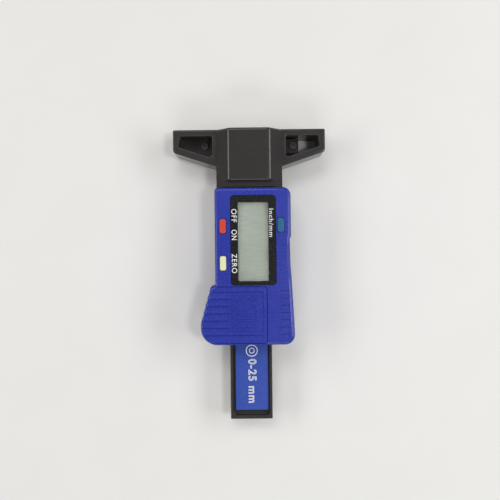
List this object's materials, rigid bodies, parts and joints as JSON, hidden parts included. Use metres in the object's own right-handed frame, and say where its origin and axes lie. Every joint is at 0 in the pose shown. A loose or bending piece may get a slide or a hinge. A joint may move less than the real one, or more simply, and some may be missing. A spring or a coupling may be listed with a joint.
{
  "type": "tyre tread depth gauge",
  "caption": "Digital tyre tread depth gauge: a T-shaped foot, a display body with buttons, and a tail beam that slides a thin probe out of the foot.",
  "frame": {"origin": "centre of the bounding box at the back face, below the middle of the tool's length", "axes": "the tool lies on its back: +Y along the tool towards the measuring foot, +X across it to the right as the display is read from above, +Z out of the display"},
  "size_m": [0.063, 0.1206, 0.0195],
  "materials": {
    "black_plastic": "fine-grained moulded black plastic",
    "blue_plastic": "satin royal blue plastic",
    "bezel_plastic": "black printed bezel",
    "clear_window": "clear polished plastic",
    "lcd": "grey-green liquid crystal panel",
    "frame_plastic": "dark inner plastic",
    "conductive_rubber": "layered conductive rubber",
    "board_green": "green solder mask",
    "copper": "copper foil",
    "chip_resin": "black potting resin",
    "steel": "plated steel",
    "battery_steel": "nickel-plated can",
    "ceramic": "ceramic body with tinned ends",
    "grey_rubber": "silicone rubber",
    "brass": "turned brass",
    "label_blue": "blue printed label",
    "red_plastic": "red plastic",
    "yellow_plastic": "pale yellow-green plastic",
    "teal_plastic": "teal plastic",
    "black_steel": "black-finished screw steel"
  },
  "bodies": {
    "housing": {"base_frame": "black_plastic", "back_plate": "black_plastic", "bridge_cover": "black_plastic", "front_housing": "blue_plastic", "display_bezel": "bezel_plastic", "display_window": "clear_window", "lcd_glass": "lcd", "lcd_frame": "frame_plastic", "zebra_strip_left": "conductive_rubber", "zebra_strip_right": "conductive_rubber", "circuit_board": "board_green", "sensor_pads": "copper", "controller_chip": "chip_resin", "crystal_can": "steel", "chip_capacitors": "ceramic", "button_cell": "battery_steel", "cell_holder": "frame_plastic", "cell_minus_contact": "steel", "cell_plus_contact": "steel", "key_mat_left": "grey_rubber", "key_mat_right": "grey_rubber", "drag_spring": "steel", "probe_bush": "brass", "lug_screws": "black_steel", "case_screws": "steel", "board_screws": "steel"},
    "slider": {"tail_beam": "black_plastic", "scale_strip": "board_green", "beam_label": "label_blue", "probe_rod": "steel", "probe_set_screw": "steel"},
    "on_off_key": {"on_off_button": "red_plastic"},
    "zero_key": {"zero_button": "yellow_plastic"},
    "unit_key": {"unit_button": "teal_plastic"},
    "cell_cover": {"battery_cover": "blue_plastic"}
  },
  "joints": [
    {"name": "probe_slide", "type": "slide", "parent": "housing", "child": "slider", "axis": [0, 1, 0], "range_m": [0, 0.0254]},
    {"name": "on_off_press", "type": "slide", "parent": "housing", "child": "on_off_key", "axis": [0, 0, -1], "range_m": [0, 0.0005], "stiffness_N_per_m": 300},
    {"name": "zero_press", "type": "slide", "parent": "housing", "child": "zero_key", "axis": [0, 0, -1], "range_m": [0, 0.0005], "stiffness_N_per_m": 300},
    {"name": "unit_press", "type": "slide", "parent": "housing", "child": "unit_key", "axis": [0, 0, -1], "range_m": [0, 0.0005], "stiffness_N_per_m": 300},
    {"name": "battery_cover_slide", "type": "slide", "parent": "housing", "child": "cell_cover", "axis": [-1, 0, 0], "range_m": [0, 0.028]}
  ]
}
